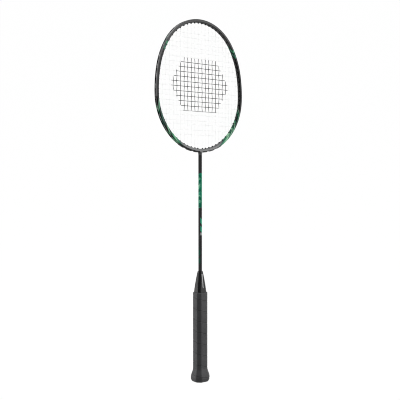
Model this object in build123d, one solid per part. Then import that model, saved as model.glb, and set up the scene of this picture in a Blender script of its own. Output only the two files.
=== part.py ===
from build123d import *
import os
from math import acos, asin, ceil, cos, degrees, pi, radians, sin, sqrt, tan

# Badminton racket. Millimetres, origin at the centre of the butt's end face,
# +Z up the shaft to the head, X across the head, the strings in the plane Y = 0.

# Head, measured over the outside of the frame
head_top = 675.0
head_bottom = 430.0
head_widest = 539.5
head_width = 202.0

# The hoop is an oval of tangent arcs. A turn is the angle of the hoop's outward
# direction: 0 at the top of the head, 90 at the widest place, 180 at the throat.
side_radius = 230.0
upper_turns = (57.0, 80.0)
lower_turns = (92.0, 132.0)

# Frame tube: in-plane width, depth through the head, bevels, string groove
frame_width = 6.0
frame_depth = 8.4
inner_bevel = 1.3
outer_bevel = 1.5
bevel_round = 0.5
groove_width = 3.5
groove_floor_width = 3.1
groove_depth = 1.6
frame_wall = 1.0

# String bed
main_count = 22
main_pitch = 8.2
cross_count = 22
cross_pitch = 8.856
top_cross_height = 646.8
string_diameter = 0.7
string_lane = 0.37
string_bend = 0.9
shared_hole_gap = 5.0

# Grommets
hole_diameter = 2.9
barrel_diameter = 2.8
barrel_bore = 1.7
barrel_reach = 4.6
barrel_chamfer = 0.3
grommet_head_seat = 1.45
grommet_head_length = 4.2
grommet_head_height = 0.7
twins_per_side = 3
twin_height = 2.55
twin_end_bevel = 1.0
twin_channel_width = 1.9
twin_channel_depth = 0.8
twin_overhang = 1.9
throat_hole_turn = 175.8
throat_hole_axis = 156.0
zone_ends = {"crown": 38.0, "shoulder": 75.0, "side": 108.0, "cheek": 146.0}

# String route. Heights are outward from the tube's middle line.
string_entry = 5.0
loop_height = 2.65
twin_loop_height = 3.7
loop_step = 9.0
string_tail = 1.5
knot_radius = 0.85
knot_turns = 3
knot_pitch = 0.5
main_tie_hole = "cross 18"
cross_tie_holes = ("main top 5", "main bottom 6")

# Throat and shaft
neck_bottom = 424.0
neck_top = 432.5
neck_half_width = 6.0
neck_depth = 8.2
shaft_diameter = 6.9
shaft_bore = 4.6
shaft_bottom = 92.0
stem_bottom = 384.0
insert_half_turn = 6.5
insert_play = 0.06

# Handle: an octagon, wider across the head's width than through it
grip_top = 168.3
grip_across = 23.6
grip_through = 22.2
grip_corner = 4.95
grip_thickness = 1.6
grip_bottom = 0.8
grip_top_bevel = 2.0
flare_top = 26.3
flare_height = 8.3
flare_reach = 4.1
butt_round = 4.5
butt_cap_thickness = 2.0
butt_cap_inset = 0.2
butt_cap_edge = 0.6
core_peg_top = 178.0
core_peg_radius = 6.5
core_bore_radius = 6.0
core_bore_top = 84.0
shaft_play = 0.05

# Cone cap between the handle and the shaft
cone_top = 207.8
cone_sleeve_bottom = 190.0
cone_steps = (0.0, 0.18, 0.42, 0.7, 0.954, 1.0)
cone_outsets = (-1.5, -2.05, -3.35, -5.0, -6.9, -7.5)

# Staple that holds the start of the grip on the back of the handle
staple_height = 34.0
staple_span = 8.0
staple_wire = 0.7
staple_leg = 5.0

os.makedirs("parts", exist_ok=True)


# The hoop's outline

def quarter_radii(half_width, rise, turns):
    """Crown and shoulder radii of a quarter oval that ends with the side arc."""
    crown_end, shoulder_end = (radians(turn) for turn in turns)
    across = half_width - side_radius * (1 - sin(shoulder_end))
    along = rise - side_radius * cos(shoulder_end)
    crown_x = sin(crown_end)
    crown_z = 1 - cos(crown_end)
    shoulder_x = sin(shoulder_end) - sin(crown_end)
    shoulder_z = cos(crown_end) - cos(shoulder_end)
    cross = crown_x * shoulder_z - shoulder_x * crown_z
    crown = (across * shoulder_z - shoulder_x * along) / cross
    shoulder = (crown_x * along - across * crown_z) / cross
    return crown, shoulder


def hoop_arcs():
    """Arcs down one side of the hoop: centre x and z, radius, first and last turn."""
    half_width = (head_width - frame_width) / 2
    rise = head_top - frame_width / 2 - head_widest
    fall = head_widest - head_bottom - frame_width / 2
    crown_radius, shoulder_radius = quarter_radii(half_width, rise, upper_turns)
    from_bottom = [180 - turn for turn in reversed(lower_turns)]
    throat_radius, cheek_radius = quarter_radii(half_width, fall, from_bottom)
    radii = [crown_radius, shoulder_radius, side_radius, cheek_radius, throat_radius]
    turns = [0.0, *upper_turns, *lower_turns, 180.0]
    arcs = []
    x, z = 0.0, head_top - frame_width / 2
    for radius, first, last in zip(radii, turns, turns[1:]):
        centre_x = x - radius * sin(radians(first))
        centre_z = z - radius * cos(radians(first))
        arcs.append((centre_x, centre_z, radius, first, last))
        x = centre_x + radius * sin(radians(last))
        z = centre_z + radius * cos(radians(last))
    return arcs


arcs = hoop_arcs()
throat_arc = arcs[-1]


def hoop_point(turn, outward=0.0, lane=0.0):
    """Point at a turn, negative on the left, moved outward from the tube's middle line."""
    side = -1 if turn < 0 else 1
    angle = radians(abs(turn))
    centre_x, centre_z, radius = next(arc[:3] for arc in arcs if abs(turn) <= arc[4])
    x = centre_x + (radius + outward) * sin(angle)
    return Vector(side * x, lane, centre_z + (radius + outward) * cos(angle))


def outward_direction(turn):
    return Vector(sin(radians(turn)), 0, cos(radians(turn)))


def hoop_length(turn):
    """Length along the tube's middle line from the top of the head."""
    return sum(
        radius * radians(max(0.0, min(abs(turn), last) - first))
        for _, _, radius, first, last in arcs
    )


def turn_at_x(x, upper):
    """Turn at which a string at x meets the hoop."""
    for centre_x, _, radius, first, last in arcs:
        sine = (x - centre_x) / (radius - string_entry)
        if abs(sine) > 1:
            continue
        turn = degrees(asin(sine)) if upper else 180 - degrees(asin(sine))
        if first <= turn <= last and (turn < 90) == upper:
            return turn
    raise ValueError(f"no hoop at x {x}")


def turn_at_z(z):
    """Turn at which a string at height z meets the hoop."""
    for _, centre_z, radius, first, last in arcs:
        cosine = (z - centre_z) / (radius - string_entry)
        if abs(cosine) <= 1 and first <= degrees(acos(cosine)) <= last:
            return degrees(acos(cosine))
    raise ValueError(f"no hoop at z {z}")


# String holes, the same on the left and on the right

def string_ends():
    """Turn and name of each string's end on one side, but for the two at the throat."""
    ends = []
    for number in range(main_count // 2):
        x = (number + 0.5) * main_pitch
        ends.append((turn_at_x(x, True), f"main top {number}"))
        if number > 0:
            ends.append((turn_at_x(x, False), f"main bottom {number}"))
    for number in range(cross_count):
        height = top_cross_height - number * cross_pitch
        ends.append((turn_at_z(height), f"cross {number}"))
    return sorted(ends)


def string_holes():
    """Each hole of one side: its turn, its axis as a turn, and the ends that share it."""
    holes = []
    for turn, name in string_ends():
        previous = holes[-1] if holes else None
        if previous and hoop_length(turn) - hoop_length(previous[0]) < shared_hole_gap:
            middle = (previous[0] + turn) / 2
            holes[-1] = (middle, middle, previous[2] + [name])
        else:
            holes.append((turn, turn, [name]))
    return holes + [(throat_hole_turn, throat_hole_axis, ["main bottom 0"])]


holes = string_holes()
hole_of = {name: hole for hole in holes for name in hole[2]}
twin_names = [f"main bottom {number}" for number in range(2 * twins_per_side)]


def hole_point(name, side, distance, lane=0.0):
    """Point on a hole's axis, a distance outward from the tube's middle line."""
    turn, axis, _ = hole_of[name]
    return hoop_point(side * turn, 0, lane) + outward_direction(side * axis) * distance


def hole_plane(hole, side):
    """Plane of a hole: z outward along its axis, y through the head."""
    turn, axis, _ = hole
    outward = outward_direction(side * axis)
    along = Vector(outward.Z, 0, -outward.X)
    return Plane(origin=hoop_point(side * turn), x_dir=along, z_dir=outward)


def drill(hole, side):
    return hole_plane(hole, side) * Cylinder(hole_diameter / 2, 3 * frame_width)


# Shapes used by more than one part

def post(radius, bottom, top):
    """Upright cylinder between two heights."""
    upright = (Align.CENTER, Align.CENTER, Align.MIN)
    return Pos(0, 0, bottom) * Cylinder(radius, top - bottom, align=upright)


def mirrored_outline(points):
    """Closed outline from its points on one side of the string plane."""
    return points + [(outward, -depth) for outward, depth in reversed(points)]


def eight_sided(half_across, half_through, corner, height):
    """Octagon at a height, from its two half widths and the cut at each corner."""
    right = [(half_across, half_through - corner), (half_across - corner, half_through)]
    back = right + [(-x, y) for x, y in reversed(right)]
    return Pos(0, 0, height) * Polygon(*back, *[(-x, -y) for x, y in back], align=None)


def bent(section, arc, first, last):
    """Section carried along one arc of the hoop, between two turns."""
    centre_x, centre_z, radius = arc[:3]
    start = Plane(
        origin=(centre_x, 0, centre_z),
        x_dir=outward_direction(first),
        z_dir=Vector(cos(radians(first)), 0, -sin(radians(first))),
    )
    axis = Axis((centre_x, 0, centre_z), (0, 1, 0))
    return revolve(start * Pos(radius, 0) * section, axis, last - first)


def hoop_solid(section):
    """Section carried round the whole hoop."""
    crown_arc = arcs[0]
    whole = bent(section, crown_arc, -crown_arc[4], crown_arc[4])
    for arc in arcs[1:-1]:
        right = bent(section, arc, arc[3], arc[4])
        whole = whole + right + mirror(right, Plane.YZ)
    return whole + bent(section, throat_arc, throat_arc[3], 360 - throat_arc[3])


# Frame

def frame_section():
    """Outside of the tube, x outward and y through the head."""
    half_width = frame_width / 2
    half_depth = frame_depth / 2
    outline = mirrored_outline([
        (half_width - groove_depth, groove_floor_width / 2),
        (half_width, groove_width / 2),
        (half_width, half_depth - outer_bevel),
        (half_width - outer_bevel, half_depth),
        (inner_bevel - half_width, half_depth),
        (-half_width, half_depth - inner_bevel),
    ])
    face = Polygon(*outline, align=None)
    corners = [corner for corner in face.vertices() if abs(corner.Y) > groove_width / 2 + 0.1]
    return fillet(corners, bevel_round)


def cavity_section(play=0.0):
    """Hollow of the tube, kept one wall inside the outside and the groove."""
    inner = -frame_width / 2 + frame_wall + play
    outer = frame_width / 2 - groove_depth - frame_wall - play
    half_depth = frame_depth / 2 - frame_wall - play
    bevel = inner_bevel / 2
    outline = mirrored_outline([
        (outer, half_depth),
        (inner + bevel, half_depth),
        (inner, half_depth - bevel),
    ])
    return Polygon(*outline, align=None)


def neck():
    """Flare that carries the hoop down to the shaft's diameter."""
    start = (shaft_diameter / 2, neck_bottom)
    end = (neck_half_width, neck_top)
    outline = (
        Line((0, neck_bottom), start)
        + TangentArc(start, end, tangent=(0, 1))
        + Line(end, (0, neck_top))
        + Line((0, neck_top), (0, neck_bottom))
    )
    flare = revolve(Plane.XZ * make_face(outline), Axis.Z)
    slab = Box(3 * neck_half_width, neck_depth, 4 * (neck_top - neck_bottom))
    return flare & Pos(0, 0, neck_top) * slab


def head_frame():
    """Hollow hoop with its neck, drilled for the strings and for the insert's stem."""
    outside = hoop_solid(frame_section()) + neck()
    stem_hole = post(shaft_bore / 2, neck_bottom, head_bottom + frame_width / 2)
    drills = [drill(hole, side) for hole in holes for side in (-1, 1)]
    return outside - hoop_solid(cavity_section()) - stem_hole - drills


def t_joint():
    """Insert: a bar inside the bottom of the hoop, with a stem down into the shaft."""
    section = cavity_section(insert_play)
    bar = bent(section, throat_arc, 180 - insert_half_turn, 180 + insert_half_turn)
    stem = post(shaft_bore / 2 - insert_play, stem_bottom, head_bottom + frame_width / 2)
    throat_drills = [drill(hole_of["main bottom 0"], side) for side in (-1, 1)]
    return bar + stem - throat_drills


def shaft():
    outside = post(shaft_diameter / 2, shaft_bottom, neck_bottom)
    return outside - post(shaft_bore / 2, shaft_bottom, neck_bottom)


# Grommets

def barrel(top):
    """Grommet tube from inside the hoop up to a height, its inner tip bevelled."""
    tube = post(barrel_diameter / 2, -barrel_reach, top)
    return chamfer(tube.edges().group_by(Axis.Z)[0], barrel_chamfer)


def grommet():
    """Barrel through the frame, with a long head that lies in the groove."""
    outline = SlotOverall(grommet_head_length, barrel_diameter)
    head = extrude(Pos(0, 0, grommet_head_seat) * outline, grommet_head_height)
    bore = post(barrel_bore / 2, -frame_width, frame_width)
    return barrel(grommet_head_seat) + head - bore


def grommet_zone(side, first, last):
    """Single grommets of one side whose turn lies between two limits."""
    single = grommet()
    zone = [hole for hole in holes if first <= hole[0] < last]
    return Compound([hole_plane(hole, side) * single for hole in zone])


def twin_grommet(number):
    """Two barrels joined by a bridge that carries the string outside the frame."""
    near, far = f"main bottom {number}", f"main bottom {number + 1}"
    overhang = degrees(twin_overhang / throat_arc[2])
    exit_sine = hole_point(near, 1, loop_height).X / (throat_arc[2] + loop_height)
    first = hole_of[far][0] - overhang
    last = 180 - degrees(asin(exit_sine)) + overhang
    bar_section = Pos(grommet_head_seat + twin_height / 2, 0) * Rectangle(twin_height, barrel_diameter)
    bar = bent(bar_section, throat_arc, first, last)
    from_centre = Vector(throat_arc[0], 0, throat_arc[1])
    ends = bar.edges().filter_by(Axis.Y).sort_by(lambda edge: (edge.center() - from_centre).length)
    bar = chamfer(ends[-2:], twin_end_bevel)
    channel = Pos(grommet_head_seat + twin_height, 0) * Rectangle(2 * twin_channel_depth, twin_channel_width)
    bore = post(barrel_bore / 2, -frame_width, frame_width)
    planes = [hole_plane(hole_of[name], 1) for name in (near, far)]
    joined = bar + [plane * barrel(grommet_head_seat + 0.5) for plane in planes]
    return joined - bent(channel, throat_arc, first - 1, last + 1) - [plane * bore for plane in planes]


# Strings

def string_height(name):
    """Height at which a string leaves a hole and lies outside the frame."""
    return twin_loop_height if name in twin_names else loop_height


def outward_run(name, side, lane):
    """A string's way out through a hole; reversed, its way in."""
    mouth = hole_point(name, side, -string_entry, lane)
    return [mouth, hole_point(name, side, string_height(name), lane)]


def loop_points(first_name, first_side, last_name, last_side, lane):
    """Points along the groove between two holes, both ends left out."""
    first = first_side * hole_of[first_name][0]
    last = last_side * hole_of[last_name][0]
    steps = max(1, ceil(abs(hoop_length(last) - hoop_length(first)) / loop_step))
    turns = [first + (last - first) * step / steps for step in range(1, steps)]
    return [hoop_point(turn, string_height(first_name), lane) for turn in turns]


def tied_direction(name, side):
    """Direction into the head of the string that a knot is tied round."""
    if name.startswith("cross"):
        return Vector(-side, 0, 0)
    return Vector(0, 0, -1) if "top" in name else Vector(0, 0, 1)


def tail(name, side, lane):
    """Last stretch of a string, in through a hole and along the string that it is tied to."""
    inward = outward_run(name, side, lane)[::-1]
    return inward + [inward[-1] + tied_direction(name, side) * string_tail]


def knot(name, side, lane):
    """Turns of a string round the one in the other lane, just inside the frame."""
    direction = tied_direction(name, side)
    reach = string_tail + knot_pitch * (knot_turns - 1) / 2 + string_diameter / 2
    centre = hole_point(name, side, -string_entry, -lane) + direction * reach
    ring = Torus(knot_radius, string_diameter / 2)
    middle = (knot_turns - 1) / 2
    rings = [Pos(0, 0, knot_pitch * (turn - middle)) * ring for turn in range(knot_turns)]
    return Plane(origin=centre, z_dir=direction) * (rings[0] + rings[1:])


def route_corners(points):
    """Route without its straight-through points, and a bend radius for each corner."""
    route = [points[0]]
    for here, after in zip(points[1:], points[2:]):
        if (here - route[-1]).get_angle(after - here) > 1.0:
            route.append(here)
    route.append(points[-1])
    bends = []
    for before, here, after in zip(route, route[1:], route[2:]):
        half_turn = radians((here - before).get_angle(after - here)) / 2
        room = 0.45 * min((here - before).length, (after - here).length) / tan(half_turn)
        bends.append(min(room, string_bend) if half_turn > radians(8) else room)
    return route, bends


def string_solid(points):
    """Round string along a route of straight runs and tangent arcs."""
    route, bends = route_corners(points)
    path = FilletPolyline(*route, radius=bends)
    section = Plane(origin=path @ 0, z_dir=path % 0) * Circle(string_diameter / 2)
    solid = sweep(section, path=path)
    expected = pi * string_diameter**2 / 4 * path.length
    print(f"string {path.length:.0f} mm, bends from {min(bends):.2f} mm,",
          f"volume {solid.volume / expected:.4f} of section times length")
    return solid


def main_string():
    """Mains from the lower left to the lower right, looped outside the frame."""
    half = main_count // 2
    order = [(-1, number) for number in reversed(range(half))]
    order += [(1, number) for number in range(half)]
    points = tail(main_tie_hole, -1, string_lane)[::-1]
    for step, (side, number) in enumerate(order):
        starts, ends = ("bottom", "top") if step % 2 == 0 else ("top", "bottom")
        points += outward_run(f"main {starts} {number}", side, string_lane)[::-1]
        points += outward_run(f"main {ends} {number}", side, string_lane)
        if step + 1 < len(order):
            next_side, next_number = order[step + 1]
            loop_ends = (f"main {ends} {number}", side, f"main {ends} {next_number}", next_side)
            points += loop_points(*loop_ends, string_lane)
    return string_solid(points + tail(main_tie_hole, 1, string_lane))


def cross_string():
    """Crosses from the top of the head down, looped outside the frame."""
    points = tail(cross_tie_holes[0], -1, -string_lane)[::-1]
    side = -1
    for number in range(cross_count):
        points += outward_run(f"cross {number}", side, -string_lane)[::-1]
        points += outward_run(f"cross {number}", -side, -string_lane)
        side = -side
        if number + 1 < cross_count:
            points += loop_points(f"cross {number}", side, f"cross {number + 1}", side, -string_lane)
    return string_solid(points + tail(cross_tie_holes[1], -1, -string_lane))


# Handle

def octagon(outset, height):
    """Handle section at a height, its faces moved out from the straight grip's."""
    corner = grip_corner + outset * (2 - sqrt(2))
    return eight_sided(grip_across / 2 + outset, grip_through / 2 + outset, corner, height)


def flare(height):
    """How far the grip's faces stand out at a height, for the flared butt."""
    if height >= flare_top:
        return 0.0
    if height >= flare_height:
        return flare_reach * (1 + cos(pi * (height - flare_height) / (flare_top - flare_height))) / 2
    drop = (flare_height - height) / flare_height
    return flare_reach - butt_round * (1 - sqrt(1 - drop**2))


def flared_sections(outset):
    """Octagons from the grip's lower edge to the top of the flare."""
    below = [grip_bottom + (flare_height - grip_bottom) * step for step in (0, 0.15, 0.35, 0.65)]
    above = [flare_height + (flare_top - flare_height) * step / 6 for step in range(7)]
    return [octagon(flare(height) + outset, height) for height in below + above]


def core_outside():
    """Outside of the core and inside of the grip, down to the grip's lower edge."""
    return loft(flared_sections(-grip_thickness) + [octagon(-grip_thickness, grip_top)], ruled=True)


def staple():
    """Crown on the core's back face, with two legs driven into the wood."""
    back = grip_through / 2 - grip_thickness
    crown = Pos(0, back + staple_wire / 2, staple_height) * Box(staple_span, staple_wire, staple_wire)
    leg = Pos(0, back - staple_leg / 2, staple_height) * Box(staple_wire, staple_leg, staple_wire)
    leg_x = (staple_span - staple_wire) / 2
    return crown + [Pos(side * leg_x, 0, 0) * leg for side in (-1, 1)]


def handle_core():
    """Wood with a socket for the shaft, a peg inside the cone cap and a bore that lightens it."""
    above_cap = Pos(0, 0, butt_cap_thickness + grip_top) * Box(2 * grip_top, 2 * grip_top, 2 * grip_top)
    body = core_outside() & above_cap
    peg = post(core_peg_radius, grip_top, core_peg_top)
    socket = post(shaft_diameter / 2 + shaft_play, shaft_bottom, core_peg_top)
    light_bore = post(core_bore_radius, 0, core_bore_top)
    return body + peg - socket - light_bore - staple()


def grip_wrap():
    """Cushioned grip over the core, with its top edge rolled in."""
    top = [octagon(0, grip_top - grip_top_bevel), octagon(-grip_top_bevel / 2, grip_top)]
    return loft(flared_sections(0.0) + top, ruled=True) - core_outside() - staple()


def butt_cap():
    """Plate in the end of the handle, inside the folded edge of the grip."""
    outset = flare(grip_bottom) - grip_thickness - butt_cap_inset
    plate = extrude(octagon(outset, 0), butt_cap_thickness)
    return fillet(plate.edges().group_by(Axis.Z)[0], butt_cap_edge)


def cone_section(step, outset):
    """Section of the cone cap: the handle's octagon below, a regular one at the shaft."""
    half_across = grip_across / 2 + outset
    half_through = half_across - (grip_across - grip_through) / 2 * (1 - step)
    handle_corner = grip_corner + outset * (2 - sqrt(2))
    regular_corner = half_across * (2 - sqrt(2))
    corner = handle_corner * (1 - step) + regular_corner * step
    return eight_sided(half_across, half_through, corner, grip_top + (cone_top - grip_top) * step)


def cone_cap():
    """Hollow cap: a tapered shell with a sleeve that grips the shaft."""
    outside = loft([cone_section(*pair) for pair in zip(cone_steps, cone_outsets)], ruled=True)
    upright = (Align.CENTER, Align.CENTER, Align.MIN)
    depth = cone_sleeve_bottom - grip_top
    hollow = Cone(core_peg_radius + 1.6, shaft_diameter / 2 + 1.2, depth, align=upright)
    sleeve_bore = post(shaft_diameter / 2 + shaft_play, grip_top, cone_top)
    return outside - Pos(0, 0, grip_top) * hollow - sleeve_bore


# Every part, by the name of its node

parts = {
    "head_frame": head_frame(),
    "t_joint": t_joint(),
    "shaft": shaft(),
    "cone_cap": cone_cap(),
    "handle_core": handle_core(),
    "grip_wrap": grip_wrap(),
    "butt_cap": butt_cap(),
    "grip_staple": staple(),
    "main_string": main_string(),
    "cross_string": cross_string(),
    "main_knot_left": knot(main_tie_hole, -1, string_lane),
    "main_knot_right": knot(main_tie_hole, 1, string_lane),
    "cross_knot_top": knot(cross_tie_holes[0], -1, -string_lane),
    "cross_knot_bottom": knot(cross_tie_holes[1], -1, -string_lane),
}
for side, word in ((-1, "left"), (1, "right")):
    first = 0.0
    for zone, last in zone_ends.items():
        parts[f"{zone}_grommets_{word}"] = grommet_zone(side, first, last)
        first = last
for pair in range(twins_per_side):
    right = twin_grommet(2 * pair)
    parts[f"twin_grommet_right_{pair + 1}"] = right
    parts[f"twin_grommet_left_{pair + 1}"] = mirror(right, Plane.YZ)

for name, part in parts.items():
    export_step(part, f"parts/{name}.step")
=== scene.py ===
import math

import bpy
import numpy as np
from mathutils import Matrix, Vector


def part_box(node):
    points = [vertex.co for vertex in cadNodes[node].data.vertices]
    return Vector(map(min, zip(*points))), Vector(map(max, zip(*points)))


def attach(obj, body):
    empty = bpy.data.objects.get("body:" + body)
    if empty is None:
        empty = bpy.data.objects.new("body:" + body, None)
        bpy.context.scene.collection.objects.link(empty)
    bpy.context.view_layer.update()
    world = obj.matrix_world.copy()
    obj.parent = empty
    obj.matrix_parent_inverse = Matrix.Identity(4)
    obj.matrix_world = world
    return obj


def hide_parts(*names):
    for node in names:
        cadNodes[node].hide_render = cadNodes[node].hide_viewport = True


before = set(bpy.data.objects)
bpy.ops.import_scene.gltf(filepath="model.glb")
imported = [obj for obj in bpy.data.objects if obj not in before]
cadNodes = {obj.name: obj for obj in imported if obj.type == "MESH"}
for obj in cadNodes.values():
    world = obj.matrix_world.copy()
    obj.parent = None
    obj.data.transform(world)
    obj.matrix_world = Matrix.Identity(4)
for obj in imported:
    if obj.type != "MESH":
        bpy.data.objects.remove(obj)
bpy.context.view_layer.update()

mm = 0.001


# Small helpers for building node materials

def newMaterial(name, roughness=0.5, metallic=0.0, coat=0.0, coatRoughness=0.1, gloss=0.5):
    material = bpy.data.materials.new(name)
    material.use_nodes = True
    tree = material.node_tree
    shader = tree.nodes["Principled BSDF"]
    shader.inputs["Roughness"].default_value = roughness
    shader.inputs["Metallic"].default_value = metallic
    shader.inputs["Coat Weight"].default_value = coat
    shader.inputs["Coat Roughness"].default_value = coatRoughness
    shader.inputs["Specular IOR Level"].default_value = gloss
    return material, tree, shader


def feed(tree, socket, value):
    # a node output is linked, anything else is set on the socket itself
    if isinstance(value, bpy.types.NodeSocket):
        tree.links.new(value, socket)
    else:
        socket.default_value = value


def calc(tree, operation, *values, clamp=False):
    node = tree.nodes.new("ShaderNodeMath")
    node.operation = operation
    node.use_clamp = clamp
    for socket, value in zip(node.inputs, values):
        feed(tree, socket, value)
    return node.outputs[0]


def blendColour(tree, amount, first, second):
    node = tree.nodes.new("ShaderNodeMix")
    node.data_type = "RGBA"
    feed(tree, node.inputs["Factor"], amount)
    feed(tree, node.inputs[6], first if isinstance(first, bpy.types.NodeSocket) else (*first, 1))
    feed(tree, node.inputs[7], second if isinstance(second, bpy.types.NodeSocket) else (*second, 1))
    return node.outputs[2]


def softStep(tree, value, low, high):
    node = tree.nodes.new("ShaderNodeMapRange")
    node.interpolation_type = "SMOOTHSTEP"
    for socket, item in zip(node.inputs, (value, low, high, 0.0, 1.0)):
        feed(tree, socket, item)
    return node.outputs[0]


def times(tree, first, second, *others):
    # the product of two or more values
    result = calc(tree, "MULTIPLY", first, second)
    for value in others:
        result = calc(tree, "MULTIPLY", result, value)
    return result


def unless(tree, value):
    return calc(tree, "SUBTRACT", 1.0, value)


def band(tree, value, low, high, softness):
    # 1 between low and high, 0 outside
    rise = softStep(tree, value, low - softness, low + softness)
    fall = softStep(tree, value, high - softness, high + softness)
    return calc(tree, "SUBTRACT", rise, fall, clamp=True)


def colourRamp(tree, value, low, high, stops):
    # stops are (place between low and high, linear colour)
    spread = tree.nodes.new("ShaderNodeMapRange")
    for socket, item in zip(spread.inputs, (value, low, high, 0.0, 1.0)):
        feed(tree, socket, item)
    node = tree.nodes.new("ShaderNodeValToRGB")
    elements = node.color_ramp.elements
    while len(elements) < len(stops):
        elements.new(0.5)
    for element, (place, colour) in zip(elements, stops):
        element.position = (place - low) / (high - low)
        element.color = (*colour, 1)
    feed(tree, node.inputs[0], spread.outputs[0])
    return node.outputs[0]


def noise(tree, vector, scale, detail=4.0, roughness=0.55, distortion=0.0):
    node = tree.nodes.new("ShaderNodeTexNoise")
    for name, value in (("Scale", scale), ("Detail", detail), ("Roughness", roughness),
                        ("Distortion", distortion)):
        node.inputs[name].default_value = value
    tree.links.new(vector, node.inputs["Vector"])
    return node.outputs[0]


def bump(tree, shader, height, distance, strength=1.0):
    node = tree.nodes.new("ShaderNodeBump")
    node.inputs["Strength"].default_value = strength
    node.inputs["Distance"].default_value = distance
    tree.links.new(height, node.inputs["Height"])
    tree.links.new(node.outputs[0], shader.inputs["Normal"])


def places(tree):
    # object coordinates: every CAD node and piece sits at the origin, so these are metres in the frame
    coordinates = tree.nodes.new("ShaderNodeTexCoord").outputs["Object"]
    split = tree.nodes.new("ShaderNodeSeparateXYZ")
    tree.links.new(coordinates, split.inputs[0])
    return coordinates, split.outputs[0], split.outputs[1], split.outputs[2]


def dress(node, material):
    for slot in cadNodes[node].material_slots:
        slot.material = material


# Camera, at the place that shows the racket turned 38 degrees

cameraSet = {"azimuth": -38.0, "distance": 1.354, "height": 0.3813, "lens": 65.29, "dip": -1.72,
             "roll": -0.03, "sideways": -0.0003}


def makeCamera():
    data = bpy.data.cameras.new("mainCamera")
    data.sensor_width = 36
    data.lens = cameraSet["lens"]
    data.clip_end = 50
    camera = bpy.data.objects.new("mainCamera", data)
    bpy.context.scene.collection.objects.link(camera)
    azimuth, dip = math.radians(cameraSet["azimuth"]), math.radians(cameraSet["dip"])
    right = Vector((math.cos(azimuth), math.sin(azimuth), 0))
    back = Vector((math.sin(azimuth), -math.cos(azimuth), 0))
    camera.location = back * cameraSet["distance"] + right * cameraSet["sideways"]
    camera.location.z = cameraSet["height"]
    ahead = -back * math.cos(dip) + Vector((0, 0, math.sin(dip)))
    camera.rotation_euler = ahead.to_track_quat("-Z", "Y").to_euler()
    camera.rotation_euler.rotate_axis("Z", math.radians(cameraSet["roll"]))
    bpy.context.scene.camera = camera


makeCamera()
print("camera ready")


# Hoop outline and string layout, worked out from the frame's box

frameLow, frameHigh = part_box("head_frame")
hoop = {"tube": 6.0, "widest": 539.5, "sideRadius": 230.0, "upperTurns": (57.0, 80.0),
        "lowerTurns": (92.0, 132.0), "bottom": 430.0}
strings = {"mains": 22, "mainPitch": 8.2, "crosses": 22, "crossPitch": 8.856, "topCross": 646.8,
           "lane": 0.37, "diameter": 0.7, "entry": 5.0, "sharedGap": 5.0, "loopHeight": 2.65,
           "twinHeight": 3.7, "twins": 6, "loopStep": 9.0, "tail": 1.5, "bend": 0.9,
           "throatTurn": 175.8, "throatAxis": 156.0}


def quarterRadii(halfWidth, rise, turns):
    first, second = (math.radians(turn) for turn in turns)
    side = hoop["sideRadius"]
    matrix = [[math.sin(first), math.sin(second) - math.sin(first)],
              [1 - math.cos(first), math.cos(first) - math.cos(second)]]
    reach = [halfWidth - side * (1 - math.sin(second)), rise - side * math.cos(second)]
    return np.linalg.solve(matrix, reach)


def hoopArcs():
    half = hoop["tube"] / 2
    top = frameHigh[2] / mm
    halfWidth = (frameHigh[0] - frameLow[0]) / mm / 2 - half
    crown, shoulder = quarterRadii(halfWidth, top - half - hoop["widest"], hoop["upperTurns"])
    fromBottom = [180 - turn for turn in reversed(hoop["lowerTurns"])]
    throat, cheek = quarterRadii(halfWidth, hoop["widest"] - hoop["bottom"] - half, fromBottom)
    turns = [0.0, *hoop["upperTurns"], *hoop["lowerTurns"], 180.0]
    arcs = []
    x, z = 0.0, top - half
    for radius, first, last in zip((crown, shoulder, hoop["sideRadius"], cheek, throat), turns, turns[1:]):
        centreX = x - radius * math.sin(math.radians(first))
        centreZ = z - radius * math.cos(math.radians(first))
        arcs.append((centreX, centreZ, radius, first, last))
        x = centreX + radius * math.sin(math.radians(last))
        z = centreZ + radius * math.cos(math.radians(last))
    return arcs


arcs = hoopArcs()


def hoopPoint(turn, outward=0.0, lane=0.0):
    side = -1 if turn < 0 else 1
    angle = math.radians(abs(turn))
    centreX, centreZ, radius = next(arc[:3] for arc in arcs if abs(turn) <= arc[4] + 1e-6)
    x = centreX + (radius + outward) * math.sin(angle)
    return Vector((side * x, lane, centreZ + (radius + outward) * math.cos(angle)))


def hoopLength(turn):
    return sum(radius * math.radians(max(0.0, min(abs(turn), last) - first))
               for _, _, radius, first, last in arcs)


def outwardWay(turn):
    return Vector((math.sin(math.radians(turn)), 0, math.cos(math.radians(turn))))


def turnAtX(x, upper):
    for centreX, _, radius, first, last in arcs:
        sine = (x - centreX) / (radius - strings["entry"])
        if abs(sine) <= 1:
            turn = math.degrees(math.asin(sine))
            turn = turn if upper else 180 - turn
            if first <= turn <= last and (turn < 90) == upper:
                return turn


def turnAtZ(z):
    for _, centreZ, radius, first, last in arcs:
        cosine = (z - centreZ) / (radius - strings["entry"])
        if abs(cosine) <= 1 and first <= math.degrees(math.acos(cosine)) <= last:
            return math.degrees(math.acos(cosine))


def crossHeight(number):
    return strings["topCross"] - number * strings["crossPitch"]


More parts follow.
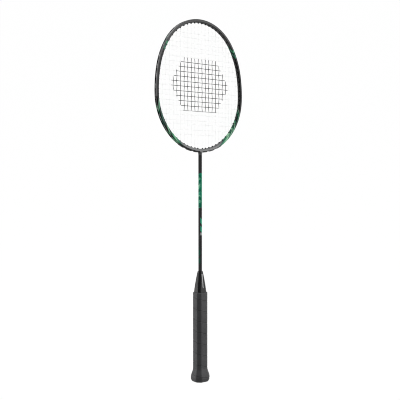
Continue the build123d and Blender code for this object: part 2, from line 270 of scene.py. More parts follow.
def stringHoles():
    ends = []
    for number in range(strings["mains"] // 2):
        x = (number + 0.5) * strings["mainPitch"]
        ends.append((turnAtX(x, True), f"top{number}"))
        if number:
            ends.append((turnAtX(x, False), f"bottom{number}"))
    ends += [(turnAtZ(crossHeight(number)), f"cross{number}") for number in range(strings["crosses"])]
    holes = []
    for turn, name in sorted(ends):
        if holes and hoopLength(turn) - hoopLength(holes[-1][0]) < strings["sharedGap"]:
            middle = (holes[-1][0] + turn) / 2
            holes[-1] = (middle, middle, holes[-1][2] + [name])
        else:
            holes.append((turn, turn, [name]))
    holes.append((strings["throatTurn"], strings["throatAxis"], ["bottom0"]))
    return {name: hole for hole in holes for name in hole[2]}


holeOf = stringHoles()


def holePoint(name, side, distance, lane):
    turn, axis, _ = holeOf[name]
    return hoopPoint(side * turn, 0, lane) + outwardWay(side * axis) * distance


def heightOutside(name):
    twin = name.startswith("bottom") and int(name[6:]) < strings["twins"]
    return strings["twinHeight"] if twin else strings["loopHeight"]


def wayOut(name, side, lane):
    return [holePoint(name, side, -strings["entry"], lane), holePoint(name, side, heightOutside(name), lane)]


def loopBetween(first, firstSide, last, lastSide, lane):
    start, end = firstSide * holeOf[first][0], lastSide * holeOf[last][0]
    steps = max(1, math.ceil(abs(hoopLength(end) - hoopLength(start)) / strings["loopStep"]))
    turns = [start + (end - start) * step / steps for step in range(1, steps)]
    return [hoopPoint(turn, heightOutside(first), lane) for turn in turns]


def tailIn(name, side, lane):
    inward = wayOut(name, side, lane)[::-1]
    way = Vector((-side, 0, 0)) if name.startswith("cross") else Vector((0, 0, -1 if "top" in name else 1))
    return inward + [inward[-1] + way * strings["tail"]]


def rounded(points, bend):
    # replaces each corner by a short curve through seven points
    route = [points[0]]
    for before, here, after in zip(points, points[1:], points[2:]):
        arrive, leave = (here - before), (after - here)
        if arrive.angle(leave) < math.radians(1.0):
            continue
        reach = min(bend, 0.45 * arrive.length, 0.45 * leave.length)
        start, end = here - arrive.normalized() * reach, here + leave.normalized() * reach
        for step in range(7):
            t = step / 6
            route.append(start * (1 - t) ** 2 + here * 2 * t * (1 - t) + end * t * t)
    return route + [points[-1]]


weave = {"rise": 0.4, "step": 1.1, "fade": 6.0}
stencil = {"centre": 553.5, "halfWidth": 69.0, "halfHeight": 48.5, "slope": 0.62, "coat": 0.13}


def inkOn(point):
    # 1 where the plain six-sided stencil is printed, 0 on the bare string
    up = abs(point.z - stencil["centre"])
    wide = abs(point.x) + up * stencil["slope"]
    return 1.0 if up < stencil["halfHeight"] and wide < stencil["halfWidth"] else 0.0


def wovenRun(start, end, lane, phaseOf, sign):
    # points across the head, lifted over and under the other set of strings
    length = (end - start).length
    count = int(length / weave["step"])
    run = []
    for step in range(1, count):
        point = start.lerp(end, step / count)
        place, inside = phaseOf(point)
        lift = sign * weave["rise"] * math.cos(math.pi * place)
        edge = min(1.0, max(0.0, min(inside, step * length / count / weave["fade"],
                                     (count - step) * length / count / weave["fade"])))
        point.y = lane * (1 - edge) + lift * edge
        run.append(point)
    return run


def rowPhase(point):
    place = (strings["topCross"] - point.z) / strings["crossPitch"]
    return place, min(place + 1.0, strings["crosses"] - place)


def columnPhase(point):
    place = point.x / strings["mainPitch"] + (strings["mains"] - 1) / 2
    return place, min(place + 1.0, strings["mains"] - place)


def tube(name, points, radius):
    curve = bpy.data.curves.new(name, "CURVE")
    curve.dimensions = "3D"
    curve.bevel_depth = radius * mm
    curve.bevel_resolution = 2
    curve.use_fill_caps = True
    spline = curve.splines.new("POLY")
    spline.points.add(len(points) - 1)
    for target, point in zip(spline.points, points):
        target.co = (*(point * mm), 1)
        target.radius = 1 + inkOn(point) * stencil["coat"] / radius
    carrier = bpy.data.objects.new(name + "Path", curve)
    bpy.context.scene.collection.objects.link(carrier)
    mesh = bpy.data.meshes.new_from_object(carrier.evaluated_get(bpy.context.evaluated_depsgraph_get()))
    bpy.data.objects.remove(carrier)
    mesh.shade_smooth()
    piece = bpy.data.objects.new(name, mesh)
    bpy.context.scene.collection.objects.link(piece)
    return piece


def stretch(first, firstSide, last, lastSide, lane, phaseOf, sign):
    # in through one hole, woven across the head, out through the other
    entry = wayOut(first, firstSide, lane)[::-1]
    leave = wayOut(last, lastSide, lane)
    return entry, wovenRun(entry[-1], leave[0], lane, phaseOf, sign), leave


def mainString():
    half = strings["mains"] // 2
    order = [(-1, number) for number in reversed(range(half))] + [(1, number) for number in range(half)]
    corners = tailIn("cross18", -1, strings["lane"])[::-1]
    points = []
    for step, (side, number) in enumerate(order):
        starts, ends = ("bottom", "top") if step % 2 == 0 else ("top", "bottom")
        first, last = f"{starts}{number}", f"{ends}{number}"
        entry, run, leave = stretch(first, side, last, side, strings["lane"], rowPhase, (-1) ** step)
        points += rounded(corners + entry + run[:1], strings["bend"]) + run[1:-1]
        corners = run[-1:] + leave
        if step + 1 < len(order):
            nextSide, nextNumber = order[step + 1]
            corners += loopBetween(last, side, f"{ends}{nextNumber}", nextSide, strings["lane"])
    points += rounded(corners + tailIn("cross18", 1, strings["lane"]), strings["bend"])
    return tube("main_string_woven", points, strings["diameter"] / 2)


def crossString():
    lane = -strings["lane"]
    corners = tailIn("top5", -1, lane)[::-1]
    points = []
    side = -1
    for number in range(strings["crosses"]):
        name = f"cross{number}"
        entry, run, leave = stretch(name, side, name, -side, lane, columnPhase, -(-1) ** number)
        points += rounded(corners + entry + run[:1], strings["bend"]) + run[1:-1]
        corners = run[-1:] + leave
        side = -side
        if number + 1 < strings["crosses"]:
            corners += loopBetween(name, side, f"cross{number + 1}", side, lane)
    points += rounded(corners + tailIn("bottom6", -1, lane), strings["bend"])
    return tube("cross_string_woven", points, strings["diameter"] / 2)


# String finish: white coated strands, with a plain dark stencil printed on the middle of the face

stringLook = {"colour": (0.97, 0.975, 0.97), "shade": (0.93, 0.94, 0.935), "ink": (0.005, 0.005, 0.006),
              "clear": 0.9, "ior": 1.2, "strandScale": 900, "inkEdge": 0.0005}


def stringMaterial():
    material, tree, shader = newMaterial("stringCoating", roughness=0.34)
    where, x, _, z = places(tree)
    across = calc(tree, "ABSOLUTE", x)
    up = calc(tree, "ABSOLUTE", calc(tree, "SUBTRACT", z, stencil["centre"] * mm))
    reach = calc(tree, "ADD", across, times(tree, up, stencil["slope"]))
    edge = stringLook["inkEdge"]
    inside = calc(tree, "SUBTRACT", 1.0, softStep(tree, reach, stencil["halfWidth"] * mm - edge,
                                                  stencil["halfWidth"] * mm + edge))
    level = calc(tree, "SUBTRACT", 1.0, softStep(tree, up, stencil["halfHeight"] * mm - edge,
                                                 stencil["halfHeight"] * mm + edge))
    worn = softStep(tree, noise(tree, where, 900, 3), 0.24, 0.34)
    inked = times(tree, times(tree, inside, level), worn)
    strand = tree.nodes.new("ShaderNodeTexWave")
    strand.wave_type = "BANDS"
    strand.bands_direction = "DIAGONAL"
    strand.inputs["Scale"].default_value = stringLook["strandScale"]
    strand.inputs["Distortion"].default_value = 1.5
    tree.links.new(where, strand.inputs["Vector"])
    white = blendColour(tree, strand.outputs["Fac"], stringLook["colour"], stringLook["shade"])
    feed(tree, shader.inputs["Base Color"], blendColour(tree, inked, white, stringLook["ink"]))
    clear = times(tree, calc(tree, "SUBTRACT", 1.0, inked, clamp=True), stringLook["clear"])
    feed(tree, shader.inputs["Transmission Weight"], clear)
    shader.inputs["IOR"].default_value = stringLook["ior"]
    bump(tree, shader, strand.outputs["Fac"], 0.00004, 0.3)
    return material


stringFinish = stringMaterial()
for piece, node in ((mainString(), "main_string"), (crossString(), "cross_string")):
    piece.data.materials.append(stringFinish)
    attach(piece, "root")
    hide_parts(node)
for node in ("main_knot_left", "main_knot_right", "cross_knot_top", "cross_knot_bottom"):
    dress(node, stringFinish)
print("strings woven")


# Grip: a cushioned strip wound up the octagon

grip = {"across": 23.6, "through": 22.2, "corner": 4.95, "thickness": 1.6, "pitch": 20.6, "seamDepth": 0.42,
        "seamWidth": 0.03, "ridge": 0.24, "ridgeWidth": 0.10, "sides": 176, "rowHeight": 0.42,
        "flareTop": 26.3, "flareHeight": 8.3, "flareReach": 4.1, "buttRound": 4.5, "roundness": 24,
        "outset": 0.5, "seamStart": 4.0, "swell": 0.10, "topFade": 1.2, "buttFade": 1.5, "rollIn": 0.9,
        "rollHeight": 1.4}


def octagonReach(angle, outset):
    # distance from the axis to the octagon's face, with its corners softened
    halfX, halfY = grip["across"] / 2 + outset, grip["through"] / 2 + outset
    corner = (halfX + halfY - grip["corner"] - outset * (2 - math.sqrt(2))) / math.sqrt(2)
    total = 0.0
    for step in range(8):
        face = step * math.pi / 4
        height = (halfX, corner, halfY, corner)[step % 4]
        lean = math.cos(angle - face)
        if lean > 0:
            total += (lean / height) ** grip["roundness"]
    return total ** (-1 / grip["roundness"])


def flareAt(height):
    if height >= grip["flareTop"]:
        return 0.0
    if height >= grip["flareHeight"]:
        part = (height - grip["flareHeight"]) / (grip["flareTop"] - grip["flareHeight"])
        return grip["flareReach"] * (1 + math.cos(math.pi * part)) / 2
    drop = (grip["flareHeight"] - height) / grip["flareHeight"]
    return grip["flareReach"] - grip["buttRound"] * (1 - math.sqrt(max(0.0, 1 - drop * drop)))


def wrapRelief(angle, height):
    # one seam per turn: a narrow valley, then the lapped edge standing a little proud
    phase = (height - grip["seamStart"] + grip["pitch"] * angle / (2 * math.pi)) / grip["pitch"]
    place = phase - math.floor(phase)
    near = min(place, 1 - place)
    valley = -grip["seamDepth"] * math.exp(-(near / grip["seamWidth"]) ** 2)
    lap = grip["ridge"] * math.exp(-((1 - place) / grip["ridgeWidth"]) ** 2)
    swell = grip["swell"] * math.sin(math.pi * place)
    return valley + lap + swell


def makeGrip():
    low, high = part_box("grip_wrap")
    bottom, top = low[2] / mm, high[2] / mm
    rows = int((top - bottom) / grip["rowHeight"])
    angles = [2 * math.pi * step / grip["sides"] for step in range(grip["sides"])]
    rings = []
    for row in range(rows + 1):
        height = bottom + (top - bottom) * row / rows
        edge = min(1.0, (top - height) / grip["topFade"], (height - bottom) / grip["buttFade"])
        roll = -grip["rollIn"] * (1 - min(1.0, (top - height) / grip["rollHeight"])) ** 2
        outset = flareAt(height) + grip["outset"]
        ring = []
        for angle in angles:
            reach = octagonReach(angle, outset) + wrapRelief(angle, height) * edge + roll
            ring.append((reach * math.cos(angle), reach * math.sin(angle), height))
        rings.append(ring)
    for height in (top, bottom):
        inset = flareAt(height) - grip["thickness"]
        rings.append([(octagonReach(angle, inset) * math.cos(angle),
                       octagonReach(angle, inset) * math.sin(angle), height) for angle in angles])
    vertices = [tuple(value * mm for value in point) for ring in rings for point in ring]
    sides = grip["sides"]
    faces = []
    for row in range(len(rings)):
        here, above = row * sides, (row + 1) % len(rings) * sides
        for step in range(sides):
            following = (step + 1) % sides
            faces.append((here + step, here + following, above + following, above + step))
    mesh = bpy.data.meshes.new("grip_wound")
    mesh.from_pydata(vertices, [], faces)
    mesh.shade_smooth()
    piece = bpy.data.objects.new("grip_wound", mesh)
    bpy.context.scene.collection.objects.link(piece)
    return piece


# the "dark" tone is painted shade for the seam valleys
gripLook = {"colour": (0.090, 0.0905, 0.0945), "worn": (0.072, 0.0725, 0.0755),
            "dark": (0.024, 0.024, 0.025), "grain": 1500.0, "pinColumns": 30.0, "pinRows": 8}


def gripMaterial():
    material, tree, shader = newMaterial("gripCushion", roughness=0.62, gloss=0.28)
    where, x, y, z = places(tree)
    angle = calc(tree, "ARCTAN2", y, x)
    turn = times(tree, angle, grip["pitch"] * mm / (2 * math.pi))
    phase = calc(tree, "DIVIDE", calc(tree, "ADD", calc(tree, "SUBTRACT", z, grip["seamStart"] * mm), turn),
                 grip["pitch"] * mm)
    place = calc(tree, "FRACT", phase)
    near = calc(tree, "MINIMUM", place, unless(tree, place))
    seamShade = calc(tree, "SUBTRACT", 1.0, softStep(tree, near, 0.0, 0.055))
    cloud = noise(tree, where, 55, 5)
    leather = noise(tree, where, gripLook["grain"], 6, 0.6)
    tone = blendColour(tree, softStep(tree, cloud, 0.3, 0.75), gripLook["colour"], gripLook["worn"])
    # painted shade: the colour darkens along the seam valleys toward the "dark" tone
    tone = blendColour(tree, times(tree, seamShade, 0.5), tone, gripLook["dark"])
    feed(tree, shader.inputs["Base Color"], tone)
    feed(tree, shader.inputs["Roughness"], calc(tree, "ADD", times(tree, cloud, 0.16), 0.36))
    # rows of pinholes along the strip
    along = calc(tree, "SINE", times(tree, angle, gripLook["pinColumns"]))
    rise = calc(tree, "SINE", times(tree, phase, 2 * math.pi * gripLook["pinRows"]))
    pins = softStep(tree, times(tree, along, rise), 0.93, 0.99)
    height = calc(tree, "SUBTRACT", times(tree, leather, 0.6), pins)
    bump(tree, shader, height, 0.00018, 0.6)
    return material


gripPiece = makeGrip()
gripPiece.data.materials.append(gripMaterial())
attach(gripPiece, "root")
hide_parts("grip_wrap")
print("grip wound")


# Frame paint: charcoal crown, black sides, green streaks low down, silver throat

# the "edge" tone lightens the upper outer wall: partly a grey stripe, partly painted reflection
paint = {"charcoal": (0.072, 0.0725, 0.073), "black": (0.006, 0.006, 0.0065), "deep": (0.002, 0.06, 0.036),
         "green": (0.016, 0.25, 0.125), "bright": (0.09, 0.48, 0.23), "mint": (0.40, 0.80, 0.50),
         "silver": (0.235, 0.237, 0.24), "teal": (0.05, 0.17, 0.13), "edge": (0.26, 0.261, 0.264)}

# turns round the hoop in degrees from the top, each with the tone reached there
streaks = {
    "left": [(97.0, "black"), (98.0, "teal"), (100.5, "mint"), (103.0, "green"), (105.5, "deep"),
             (106.5, "black"), (109.0, "deep"), (114.0, "teal"), (119.0, "deep"), (121.0, "black"),
             (124.0, "black"), (125.0, "bright"), (127.0, "mint"), (129.5, "green"), (130.5, "black"),
             (133.0, "black"), (134.0, "green"), (137.0, "bright"), (140.0, "mint"), (142.5, "bright"),
             (146.0, "green"), (148.5, "teal"), (151.5, "silver")],
    "right": [(106.0, "black"), (107.0, "mint"), (108.5, "deep"), (111.5, "green"), (113.5, "deep"),
              (115.0, "black"), (117.5, "deep"), (119.5, "black"), (121.5, "green"), (124.0, "mint"),
              (125.5, "deep"), (128.0, "green"), (130.5, "mint"), (132.5, "deep"), (134.5, "green"),
              (136.5, "mint"), (140.0, "mint"), (143.0, "bright"), (146.5, "green"), (149.5, "teal"),
              (151.5, "silver")],
    "upper": [(0.0, "charcoal"), (36.5, "charcoal"), (37.5, "deep"), (39.0, "bright"), (41.0, "deep"),
              (43.4, "teal"), (45.0, "green"), (46.2, "black"), (100.0, "black")],
}


def arcPlace(tree, x, z, arc):
    # turn and distance outward from the middle line of one of the hoop's arcs
    centreX, centreZ, radius = arc[:3]
    reach = calc(tree, "SUBTRACT", calc(tree, "ABSOLUTE", x), centreX * mm)
    rise = calc(tree, "SUBTRACT", z, centreZ * mm)
    turn = times(tree, calc(tree, "ARCTAN2", reach, rise), 180 / math.pi)
    span = calc(tree, "SQRT", calc(tree, "ADD", times(tree, reach, reach),
                                   times(tree, rise, rise)))
    return turn, calc(tree, "SUBTRACT", span, radius * mm)


def mixNumber(tree, amount, first, second):
    return calc(tree, "ADD", first, times(tree, amount, calc(tree, "SUBTRACT", second, first)))


def streakRamp(tree, value, low, high, name):
    return colourRamp(tree, value, low, high, [(place, paint[tone]) for place, tone in streaks[name]])


# streaks lean across the tube; ramps are in degrees and the neck heights in metres
frameLook = {"coat": 0.4, "lowerRamp": (92.0, 160.0), "upperRamp": (0.0, 100.0), "leanAcross": -1900.0,
             "leanThrough": 300.0, "chevronLean": 900.0, "ripple": 3.0, "outerWall": (0.45, 0.7),
             "innerWall": (-0.35, -0.7), "edgeSpan": (22.0, 97.0, 9.0), "lowerStart": (94.0, 95.0),
             "throatStart": (142.0, 152.0), "silverStart": (150.0, 152.0), "crownEnd": (38.0, 41.0),
             "neckTop": (0.4290, 0.4312), "fleck": 0.12, "satin": (0.26, 0.16)}


def outwardness(tree, x, drop):
    # 1 on the outer wall, 0 on the flat faces and -1 on the inner wall
    ray = tree.nodes.new("ShaderNodeCombineXYZ")
    tree.links.new(x, ray.inputs[0])
    tree.links.new(drop, ray.inputs[2])
    unit = tree.nodes.new("ShaderNodeVectorMath")
    unit.operation = "NORMALIZE"
    tree.links.new(ray.outputs[0], unit.inputs[0])
    facing = tree.nodes.new("ShaderNodeVectorMath")
    facing.operation = "DOT_PRODUCT"
    tree.links.new(unit.outputs[0], facing.inputs[0])
    tree.links.new(tree.nodes.new("ShaderNodeNewGeometry").outputs["Normal"], facing.inputs[1])
    return facing.outputs["Value"]


def frameMaterial():
    look = frameLook
    material, tree, shader = newMaterial("frameLacquer", roughness=0.34, coat=look["coat"],
                                         coatRoughness=0.07, gloss=0.14)
    where, x, y, z = places(tree)
    black = paint["black"]
    drop = calc(tree, "SUBTRACT", z, hoop["widest"] * mm)
    degrees = calc(tree, "ARCTAN2", calc(tree, "ABSOLUTE", x), drop)
    degrees = times(tree, degrees, 180 / math.pi)
    outward = outwardness(tree, x, drop)
    isOuter = softStep(tree, outward, *look["outerWall"])
    isInner = softStep(tree, outward, *look["innerWall"])
    # on the lower half: the hoop's own turn, and the distance out from the tube's middle line
    cheekTurn, cheekOut = arcPlace(tree, x, z, arcs[3])
    throatTurn, throatOut = arcPlace(tree, x, z, arcs[4])
    pastCheek = softStep(tree, cheekTurn, arcs[4][3] - 0.1, arcs[4][3] + 0.1)
    turn = mixNumber(tree, pastCheek, cheekTurn, throatTurn)
    across = mixNumber(tree, pastCheek, cheekOut, throatOut)
    ripple = times(tree, calc(tree, "SUBTRACT", noise(tree, where, 70, 2), 0.5), look["ripple"])
    slant = calc(tree, "ADD", times(tree, across, look["leanAcross"]), times(tree, y, look["leanThrough"]))
    streak = calc(tree, "ADD", calc(tree, "ADD", turn, slant), ripple)
    left = streakRamp(tree, streak, *look["lowerRamp"], "left")
    right = streakRamp(tree, streak, *look["lowerRamp"], "right")
    lower = blendColour(tree, softStep(tree, x, -0.001, 0.001), left, right)
    # thin green chevron between the charcoal crown and the black sides
    chevron = calc(tree, "ADD", degrees, times(tree, y, look["chevronLean"]))
    upper = streakRamp(tree, chevron, *look["upperRamp"], "upper")
    # partly a grey stripe and partly painted reflection: the upper hoop's outer wall is lightened to the pale
    # "edge" grey
    outerStripeAndReflection = times(tree, isOuter, band(tree, chevron, *look["edgeSpan"]))
    upper = blendColour(tree, outerStripeAndReflection, upper, paint["edge"])
    # painted shade: the lower outer wall and the throat's underside are darkened toward black
    isLower = softStep(tree, turn, *look["lowerStart"])
    undersideShade = times(tree, softStep(tree, outward, 0.2, 0.5), softStep(tree, turn, *look["throatStart"]))
    shade = calc(tree, "MAXIMUM", times(tree, isOuter, 0.45), times(tree, undersideShade, 0.9))
    lower = blendColour(tree, shade, lower, black)
    colour = blendColour(tree, isLower, upper, lower)
    onNeck = times(tree, isLower, unless(tree, softStep(tree, z, *look["neckTop"])))
    colour = blendColour(tree, times(tree, onNeck, 0.45), colour, black)
    fleck = softStep(tree, noise(tree, where, 2600, 3), 0.5, 0.75)
    colour = blendColour(tree, times(tree, fleck, look["fleck"]), colour, (0.0, 0.0, 0.0))
    colour = blendColour(tree, times(tree, isInner, 0.25), colour, black)
    # silver and charcoal parts are satin and a little metallic, the inner wall is plain
    isSilver = softStep(tree, streak, *look["silverStart"])
    isCrown = unless(tree, softStep(tree, degrees, *look["crownEnd"]))
    metal = calc(tree, "MAXIMUM", times(tree, isSilver, 0.35), times(tree, isCrown, 0.2))
    satin = calc(tree, "MAXIMUM", calc(tree, "MAXIMUM", isSilver, isCrown), isInner)
    smooth, extra = look["satin"]
    feed(tree, shader.inputs["Base Color"], colour)
    feed(tree, shader.inputs["Metallic"], metal)
    feed(tree, shader.inputs["Coat Weight"],
         calc(tree, "SUBTRACT", look["coat"], times(tree, isInner, 0.36)))
    feed(tree, shader.inputs["Roughness"], calc(tree, "ADD", times(tree, satin, extra), smooth))
    bump(tree, shader, noise(tree, where, 420, 3), 0.00003, 0.25)
    return material


dress("head_frame", frameMaterial())


# Shaft paint: dark grey with a long green part, two small wedges and a dim teal foot

shaftLook = {"emerald": (0.008, 0.33, 0.18), "light": (0.05, 0.50, 0.30), "dark": (0.003, 0.20, 0.105),
             "lime": (0.34, 0.80, 0.50), "ground": (0.047, 0.0475, 0.048), "silver": (0.5, 0.52, 0.52),
             "smudge": (0.12, 0.12, 0.12), "teal": (0.012, 0.11, 0.07), "artScale": 46.0, "lean": 0.0014}
# each mark's lowest and highest point and the softness of its edge, in metres up the racket
marks = {"green": (0.3255, 0.3896, 0.0006), "lowerWedge": (0.2835, 0.2935, 0.0005),
         "upperWedge": (0.2985, 0.3085, 0.0005), "patch": (0.2748, 0.2800, 0.0003),
         "smudge": (0.2575, 0.2755, 0.002), "foot": (0.2215, 0.2545, 0.003)}
markSide = (0.788, -0.616)  # across the tube, turned 38 degrees from X


def shaftMaterial():
    look = shaftLook
    material, tree, shader = newMaterial("shaftLacquer", roughness=0.32, coat=0.4, coatRoughness=0.06,
                                         gloss=0.14)
    where, x, y, z = places(tree)
    around = calc(tree, "ARCTAN2", y, x)
    level = calc(tree, "ADD", z, times(tree, calc(tree, "SINE", around), look["lean"]))
    swirl = noise(tree, where, 130, 3, 0.5, 1.2)
    wave = tree.nodes.new("ShaderNodeTexWave")
    wave.bands_direction = "DIAGONAL"
    wave.inputs["Scale"].default_value = look["artScale"]
    wave.inputs["Distortion"].default_value = 5
    wave.inputs["Detail"].default_value = 1.5
    tree.links.new(where, wave.inputs["Vector"])
    stroke = softStep(tree, wave.outputs["Fac"], 0.38, 0.58)
    # one ground and one mix of greens all the way round; only the small marks keep to a side of the tube
    side = calc(tree, "ADD", times(tree, x, markSide[0]), times(tree, y, markSide[1]))
    left = unless(tree, softStep(tree, side, -0.0002, 0.0012))
    greens = blendColour(tree, softStep(tree, swirl, 0.40, 0.6), look["dark"], look["emerald"])
    low = softStep(tree, times(tree, z, -1.0), -0.384, -0.378)
    pale = blendColour(tree, softStep(tree, swirl, 0.45, 0.55), look["light"], look["lime"])
    greens = blendColour(tree, times(tree, stroke, low, left), greens, pale)
    colour = blendColour(tree, band(tree, level, *marks["green"]), look["ground"], greens)
    # the wedges and the silver patch, on the right
    slanted = calc(tree, "ADD", z, times(tree, side, 1.2))
    wedges = calc(tree, "MAXIMUM", band(tree, slanted, *marks["upperWedge"]),
                  band(tree, slanted, *marks["lowerWedge"]))
    wedges = times(tree, wedges, softStep(tree, side, 0.0001, 0.0006))
    colour = blendColour(tree, wedges, colour, look["light"])
    patch = times(tree, band(tree, z, *marks["patch"]), softStep(tree, side, 0.0, 0.0005))
    colour = blendColour(tree, patch, colour, look["silver"])
    # grey smudges, then the foot, on the left
    smudge = times(tree, softStep(tree, swirl, 0.52, 0.6), band(tree, z, *marks["smudge"]), left)
    colour = blendColour(tree, smudge, colour, look["smudge"])
    foot = times(tree, band(tree, z, *marks["foot"]), left, softStep(tree, swirl, 0.36, 0.48))
    colour = blendColour(tree, foot, colour, look["teal"])
    feed(tree, shader.inputs["Base Color"], colour)
    bump(tree, shader, noise(tree, where, 500, 2), 0.00002, 0.3)
    return material


dress("shaft", shaftMaterial())


# Cone cap: glossy moulding with a plain pale stripe up its front face

# the "groove" tone is painted shade inside the panel grooves
coneLook = {"colour": (0.010, 0.0104, 0.0115), "second": (0.022, 0.0225, 0.024),
            "stripe": (0.66, 0.665, 0.67), "groove": (0.001, 0.001, 0.001), "halfWidth": 0.0009,
            "stripeSpan": (0.1765, 0.2025, 0.0003), "ends": (0.1683, 0.2078),
            "panelHalf": (0.0042, 0.0016), "grooveSpan": (0.1712, 0.2045, 0.0002)}


def coneMaterial():
    look = coneLook
    material, tree, shader = newMaterial("conePlastic", roughness=0.24, coat=0.14, gloss=0.22)
    where, x, y, z = places(tree)
    wide = calc(tree, "ABSOLUTE", x)
    edge = unless(tree, softStep(tree, wide, look["halfWidth"] - 0.0001, look["halfWidth"] + 0.0001))
    front = softStep(tree, times(tree, y, -1.0), 0.001, 0.002)
    stripe = times(tree, edge, front, band(tree, z, *look["stripeSpan"]))
    mottle = blendColour(tree, noise(tree, where, 90, 4), look["colour"], look["second"])
    # a fine groove frames the panel on each of the four wide faces, its colour darkened as painted shade
    normal = tree.nodes.new("ShaderNodeSeparateXYZ")
    tree.links.new(tree.nodes.new("ShaderNodeNewGeometry").outputs["Normal"], normal.inputs[0])
    onSide = softStep(tree, calc(tree, "ABSOLUTE", normal.outputs[0]), 0.86, 0.9)
    onFront = softStep(tree, calc(tree, "ABSOLUTE", normal.outputs[1]), 0.86, 0.9)
    place = calc(tree, "ADD", times(tree, onSide, calc(tree, "ABSOLUTE", y)), times(tree, onFront, wide))
    half = tree.nodes.new("ShaderNodeMapRange")
    for socket, item in zip(half.inputs, (z, *look["ends"], *look["panelHalf"])):
        feed(tree, socket, item)
    near = calc(tree, "ABSOLUTE", calc(tree, "SUBTRACT", place, half.outputs[0]))
    groove = times(tree, unless(tree, softStep(tree, near, 0.00018, 0.00034)),
                   calc(tree, "MAXIMUM", onSide, onFront), band(tree, z, *look["grooveSpan"]))
    # painted shade: the groove's colour is darkened to the near-black "groove" tone
    mottle = blendColour(tree, groove, mottle, look["groove"])
    feed(tree, shader.inputs["Base Color"], blendColour(tree, stripe, mottle, look["stripe"]))
    feed(tree, shader.inputs["Roughness"],
         calc(tree, "ADD", times(tree, noise(tree, where, 160, 3), 0.16), 0.14))
    relief = calc(tree, "SUBTRACT", times(tree, noise(tree, where, 1400, 3), 0.12), groove)
    bump(tree, shader, relief, 0.0003, 0.8)
    return material


dress("cone_cap", coneMaterial())


def plainMaterial(name, first, second, scale, roughness, metallic=0.0, depth=0.00005, coat=0.0):
    # two close tones with a fine matching relief, for the small moulded and hidden pieces
    material, tree, shader = newMaterial(name, roughness=roughness, metallic=metallic, coat=coat)
    where = places(tree)[0]
    mottle = noise(tree, where, scale, 5)
    feed(tree, shader.inputs["Base Color"], blendColour(tree, mottle, first, second))
    feed(tree, shader.inputs["Roughness"], calc(tree, "ADD", times(tree, mottle, 0.2), roughness - 0.1))
    bump(tree, shader, noise(tree, where, scale * 6, 4), depth, 0.4)
    return material


def woodMaterial():
    material, tree, shader = newMaterial("coreWood", roughness=0.6)
    where = places(tree)[0]
    stretched = tree.nodes.new("ShaderNodeMapping")
    stretched.inputs["Scale"].default_value = (1, 1, 0.08)
    tree.links.new(where, stretched.inputs["Vector"])
    rings = noise(tree, stretched.outputs[0], 420, 6, 0.6, 1.2)
    feed(tree, shader.inputs["Base Color"], blendColour(tree, rings, (0.55, 0.38, 0.21), (0.36, 0.22, 0.11)))
    bump(tree, shader, rings, 0.0001, 0.4)
    return material


nylon = plainMaterial("grommetNylon", (0.008, 0.008, 0.009), (0.016, 0.016, 0.017), 300, 0.42)
for node in cadNodes:
    if "grommet" in node:
        dress(node, nylon)
dress("butt_cap", plainMaterial("capPlastic", (0.012, 0.012, 0.013), (0.022, 0.022, 0.023), 250, 0.5))
dress("grip_staple", plainMaterial("stapleSteel", (0.5, 0.5, 0.51), (0.36, 0.36, 0.37), 900, 0.35, 1.0))
dress("t_joint", plainMaterial("insertAlloy", (0.6, 0.61, 0.63), (0.48, 0.49, 0.5), 500, 0.35, 1.0))
dress("handle_core", woodMaterial())
print("finishes on")


# Stage: a round paper cove, pale floor and wall in one, and soft lights

coveSet = {"floor": -0.0006, "radius": 3.2, "bend": 1.2, "height": 4.0, "sides": 96, "glow": 0.985}


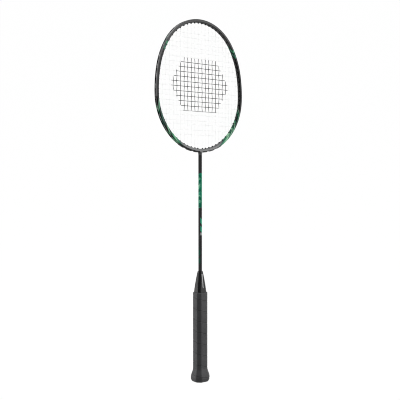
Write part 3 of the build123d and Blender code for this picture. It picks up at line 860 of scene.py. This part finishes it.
def makeCove():
    # a lathed profile: flat floor, curved foot, wall and a domed top
    radius, bend = coveSet["radius"], coveSet["bend"]
    profile = [(reach, 0.0) for reach in (0.15, 0.6, 1.4, radius - bend)]
    for step in range(1, 13):
        angle = math.pi / 2 * step / 12
        profile.append((radius - bend + bend * math.sin(angle), bend * (1 - math.cos(angle))))
    for step in range(1, 13):
        angle = math.pi / 2 * step / 12
        profile.append((radius * math.cos(angle) + 0.02, bend + coveSet["height"] * math.sin(angle)))
    sides = coveSet["sides"]
    vertices = [(0, 0, coveSet["floor"])]
    for reach, height in profile:
        for step in range(sides):
            angle = 2 * math.pi * step / sides
            vertices.append((reach * math.cos(angle), reach * math.sin(angle), height + coveSet["floor"]))
    faces = [(0, 1 + step, 1 + (step + 1) % sides) for step in range(sides)]
    for ring in range(len(profile) - 1):
        here, above = 1 + ring * sides, 1 + (ring + 1) * sides
        for step in range(sides):
            following = (step + 1) % sides
            faces.append((here + following, here + step, above + step, above + following))
    mesh = bpy.data.meshes.new("paperCove")
    mesh.from_pydata(vertices, [], faces)
    mesh.shade_smooth()
    cove = bpy.data.objects.new("paperCove", mesh)
    bpy.context.scene.collection.objects.link(cove)
    material, tree, shader = newMaterial("paperWhite", roughness=0.95, gloss=0.0)
    where = places(tree)[0]
    feed(tree, shader.inputs["Base Color"],
         blendColour(tree, noise(tree, where, 30, 3), (0.030, 0.030, 0.030), (0.034, 0.034, 0.034)))
    shader.inputs["Emission Color"].default_value = (1, 1, 1, 1)
    shader.inputs["Emission Strength"].default_value = coveSet["glow"]
    mesh.materials.append(material)
    # the paper is a backdrop: it neither lights the racket nor shades the lamps
    cove.visible_glossy = cove.visible_diffuse = cove.visible_shadow = False


makeCove()

lights = {
    "leftPanel": {"at": (-1.35, 1.30, 0.6), "aim": (0, 0, 0.38), "size": (1.1, 2.4), "power": 13},
    "frontPanel": {"at": (1.15, -1.40, 0.6), "aim": (0, 0, 0.34), "size": (1.3, 2.2), "power": 13},
    "topPanel": {"at": (-0.2, -0.3, 2.3), "aim": (0, 0, 0.5), "size": (1.4, 1.4), "power": 10},
}
room = {"darkSide": (-0.62, -0.79, 0.0), "dim": 0.14, "bright": 0.9}  # dark curtain behind the camera


def makeLights():
    for name, facts in lights.items():
        data = bpy.data.lights.new(name, "AREA")
        data.shape = "RECTANGLE"
        data.size, data.size_y = facts["size"]
        data.energy = facts["power"]
        lamp = bpy.data.objects.new(name, data)
        lamp.location = facts["at"]
        lamp.rotation_euler = (Vector(facts["aim"]) - Vector(facts["at"])).to_track_quat("-Z", "Y").to_euler()
        bpy.context.scene.collection.objects.link(lamp)
    world = bpy.data.worlds.new("studio")
    bpy.context.scene.world = world
    world.use_nodes = True
    tree = world.node_tree
    tree.nodes["Background"].inputs["Color"].default_value = (1, 1, 1, 1)
    way = tree.nodes.new("ShaderNodeVectorMath")
    way.operation = "DOT_PRODUCT"
    tree.links.new(tree.nodes.new("ShaderNodeTexCoord").outputs["Generated"], way.inputs[0])
    way.inputs[1].default_value = room["darkSide"]
    curtain = tree.nodes.new("ShaderNodeMapRange")
    for socket, value in zip(curtain.inputs, (way.outputs["Value"], -1.0, 1.0, room["bright"], room["dim"])):
        feed(tree, socket, value)
    tree.links.new(curtain.outputs[0], tree.nodes["Background"].inputs["Strength"])
    bpy.context.scene.view_settings.view_transform = "Standard"
    bpy.context.scene.cycles.filter_width = 1.0


makeLights()
print("stage and lights ready")
